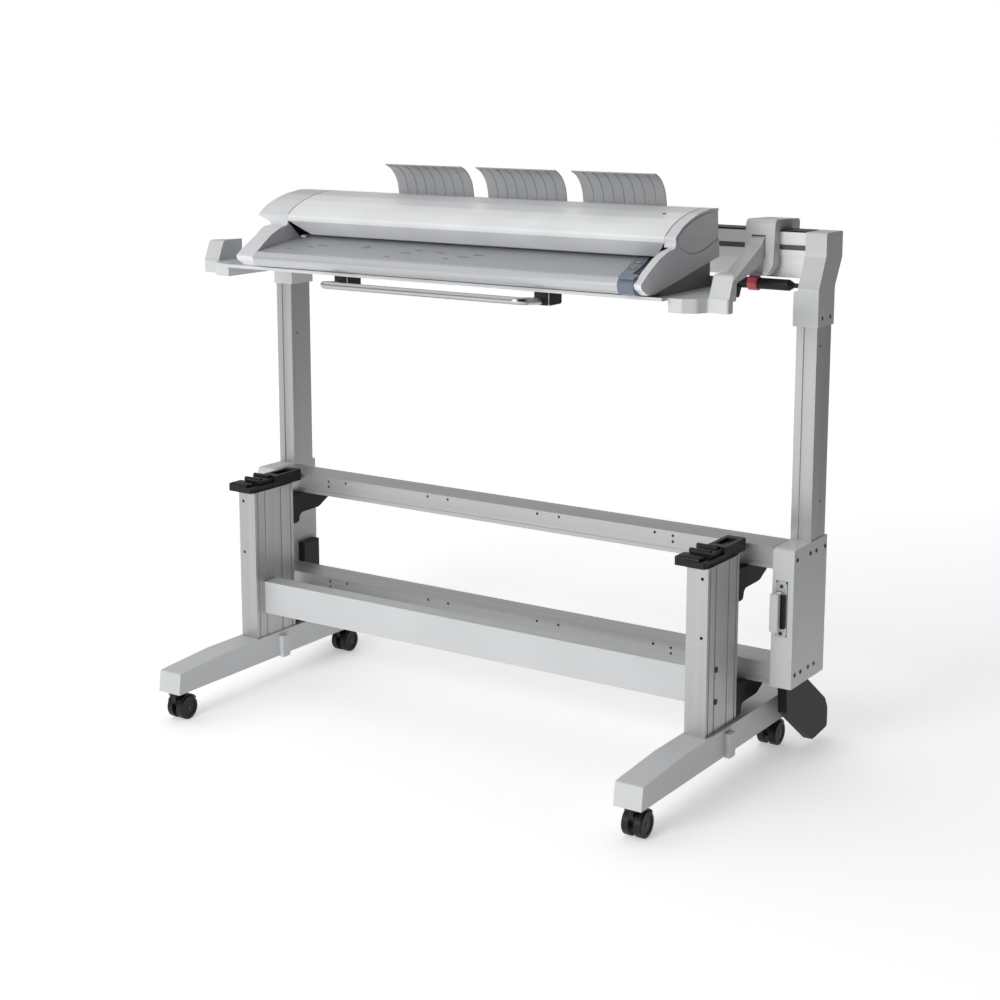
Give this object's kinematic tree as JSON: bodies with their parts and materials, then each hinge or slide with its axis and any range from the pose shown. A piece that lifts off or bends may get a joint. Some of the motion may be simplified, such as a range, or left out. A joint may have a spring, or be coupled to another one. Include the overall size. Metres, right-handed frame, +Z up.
{
  "type": "wide-format scanner on a castored stand",
  "caption": "Wide-format sheet-feed scanner with a curved lid and paper guides, on lifting arms of a tall castored stand that straddles a floor plotter.",
  "frame": {"origin": "on the floor under the middle of the overall box", "axes": "+X to the operator's right along the machine, +Y away from the operator, +Z up"},
  "size_m": [1.476, 0.758, 1.2824],
  "materials": {
    "painted_light_grey": "satin",
    "anodised_aluminium": "brushed",
    "black_plastic": "fine grain",
    "castor_tread": "satin",
    "black_casting": "matt",
    "screw_black": "matt",
    "pin_steel": "turned",
    "collar_red": "gloss",
    "handle_chrome": "polished",
    "cap_light_grey": "satin",
    "lid_silver": "satin",
    "table_grey": "satin",
    "lip_silver": "satin",
    "panel_blue_grey": "satin",
    "button_green": "gloss",
    "button_grey": "gloss",
    "guide_grey": "satin",
    "clear_glass": "polished",
    "sensor_black": "matt",
    "roller_rubber": "matt",
    "motor_steel": "satin",
    "rotor_steel": "turned",
    "board_green": "satin",
    "sheet_steel": "zinc plated",
    "backing_white": "matt"
  },
  "bodies": {
    "stand": {"foot_left": "painted_light_grey", "foot_right": "painted_light_grey", "front_crossbar": "painted_light_grey", "end_box_left": "painted_light_grey", "end_box_right": "painted_light_grey", "top_bracket_left": "painted_light_grey", "top_bracket_right": "painted_light_grey", "arm_housing_left": "painted_light_grey", "arm_housing_right": "painted_light_grey", "front_post_left": "anodised_aluminium", "front_post_right": "anodised_aluminium", "upper_rear_rail": "anodised_aluminium", "lower_rear_rail": "anodised_aluminium", "column_left": "anodised_aluminium", "column_right": "anodised_aluminium", "top_rail": "anodised_aluminium", "rail_skirt": "anodised_aluminium", "printer_rest_left": "black_plastic", "printer_rest_right": "black_plastic", "cable_box": "black_plastic", "side_grip": "black_plastic", "top_rail_strip": "black_plastic", "rail_gussets": "black_casting", "rear_links": "black_casting", "frame_screws": "screw_black", "arm_pivot_pins": "pin_steel"},
    "scanner": {"scanner_arm_left": "painted_light_grey", "scanner_arm_right": "painted_light_grey", "support_tray": "painted_light_grey", "pull_handle": "handle_chrome", "scanner_base": "sheet_steel", "feed_table": "table_grey", "table_lip": "lip_silver", "end_cap_left": "cap_light_grey", "end_cap_right": "cap_light_grey", "control_panel": "panel_blue_grey", "paper_guides": "guide_grey", "glass_plate": "clear_glass", "cis_modules": "sensor_black", "stepper_motor": "motor_steel", "drive_belt": "roller_rubber", "side_frames": "sheet_steel", "main_board": "board_green"},
    "lid": {"scanner_lid": "lid_silver", "pressure_plate": "backing_white"},
    "lock": {"lock_shaft": "black_plastic", "lock_collar": "collar_red"},
    "start_key": {"start_button": "button_green"},
    "stop_key": {"stop_button": "button_grey"},
    "front_feed": {"front_roller": "roller_rubber"},
    "rear_feed": {"rear_roller": "roller_rubber"},
    "motor_drive": {"motor_rotor": "rotor_steel"},
    "castor_front_left": {"castor_fork_front_left": "black_plastic"},
    "wheels_front_left": {"castor_wheels_front_left": "castor_tread"},
    "castor_front_right": {"castor_fork_front_right": "black_plastic"},
    "wheels_front_right": {"castor_wheels_front_right": "castor_tread"},
    "castor_rear_left": {"castor_fork_rear_left": "black_plastic"},
    "wheels_rear_left": {"castor_wheels_rear_left": "castor_tread"},
    "castor_rear_right": {"castor_fork_rear_right": "black_plastic"},
    "wheels_rear_right": {"castor_wheels_rear_right": "castor_tread"}
  },
  "joints": [
    {"name": "castor_front_left_swivel", "type": "hinge", "parent": "stand", "child": "castor_front_left", "pos_m": [-0.6105, -0.3547, 0.09], "axis": [0, 0, 1], "continuous": true},
    {"name": "wheels_front_left_roll", "type": "hinge", "parent": "castor_front_left", "child": "wheels_front_left", "pos_m": [-0.6105, -0.3367, 0.028], "axis": [1, 0, 0], "continuous": true},
    {"name": "castor_front_right_swivel", "type": "hinge", "parent": "stand", "child": "castor_front_right", "pos_m": [0.6105, -0.3547, 0.09], "axis": [0, 0, 1], "continuous": true},
    {"name": "wheels_front_right_roll", "type": "hinge", "parent": "castor_front_right", "child": "wheels_front_right", "pos_m": [0.6105, -0.3367, 0.028], "axis": [1, 0, 0], "continuous": true},
    {"name": "castor_rear_left_swivel", "type": "hinge", "parent": "stand", "child": "castor_rear_left", "pos_m": [-0.6105, 0.256, 0.09], "axis": [0, 0, 1], "continuous": true},
    {"name": "wheels_rear_left_roll", "type": "hinge", "parent": "castor_rear_left", "child": "wheels_rear_left", "pos_m": [-0.6105, 0.274, 0.028], "axis": [1, 0, 0], "continuous": true},
    {"name": "castor_rear_right_swivel", "type": "hinge", "parent": "stand", "child": "castor_rear_right", "pos_m": [0.6105, 0.256, 0.09], "axis": [0, 0, 1], "continuous": true},
    {"name": "wheels_rear_right_roll", "type": "hinge", "parent": "castor_rear_right", "child": "wheels_rear_right", "pos_m": [0.6105, 0.274, 0.028], "axis": [1, 0, 0], "continuous": true},
    {"name": "lock_turn", "type": "hinge", "parent": "stand", "child": "lock", "pos_m": [0.6, 0.194, 1.049], "axis": [-1, 0, 0], "range_deg": [0, 60]},
    {"name": "scanner_lift", "type": "hinge", "parent": "stand", "child": "scanner", "pos_m": [0, 0.2, 1.12], "axis": [-1, 0, 0], "range_deg": [0, 30]},
    {"name": "lid_open", "type": "hinge", "parent": "scanner", "child": "lid", "pos_m": [0, 0.07233, 1.20157], "axis": [-1, 0, 0], "range_deg": [0, 55]},
    {"name": "start_press", "type": "slide", "parent": "scanner", "child": "start_key", "axis": [0, 0.1113, -0.9938], "range_m": [0, 0.001], "stiffness_N_per_m": 150},
    {"name": "stop_press", "type": "slide", "parent": "scanner", "child": "stop_key", "axis": [0, 0.1113, -0.9938], "range_m": [0, 0.001], "stiffness_N_per_m": 150},
    {"name": "front_roller_spin", "type": "hinge", "parent": "scanner", "child": "front_feed", "pos_m": [0, -0.011, 1.10865], "axis": [1, 0, 0], "continuous": true},
    {"name": "rear_roller_spin", "type": "hinge", "parent": "scanner", "child": "rear_feed", "pos_m": [0, 0.07059, 1.12392], "axis": [1, 0, 0], "continuous": true},
    {"name": "motor_spin", "type": "hinge", "parent": "scanner", "child": "motor_drive", "pos_m": [0, -0.0159, 1.15657], "axis": [1, 0, 0], "continuous": true}
  ],
  "couplings": [
    {"joint": "rear_roller_spin", "follows": "front_roller_spin", "ratio": 1},
    {"joint": "motor_spin", "follows": "front_roller_spin", "ratio": 1.2143}
  ]
}
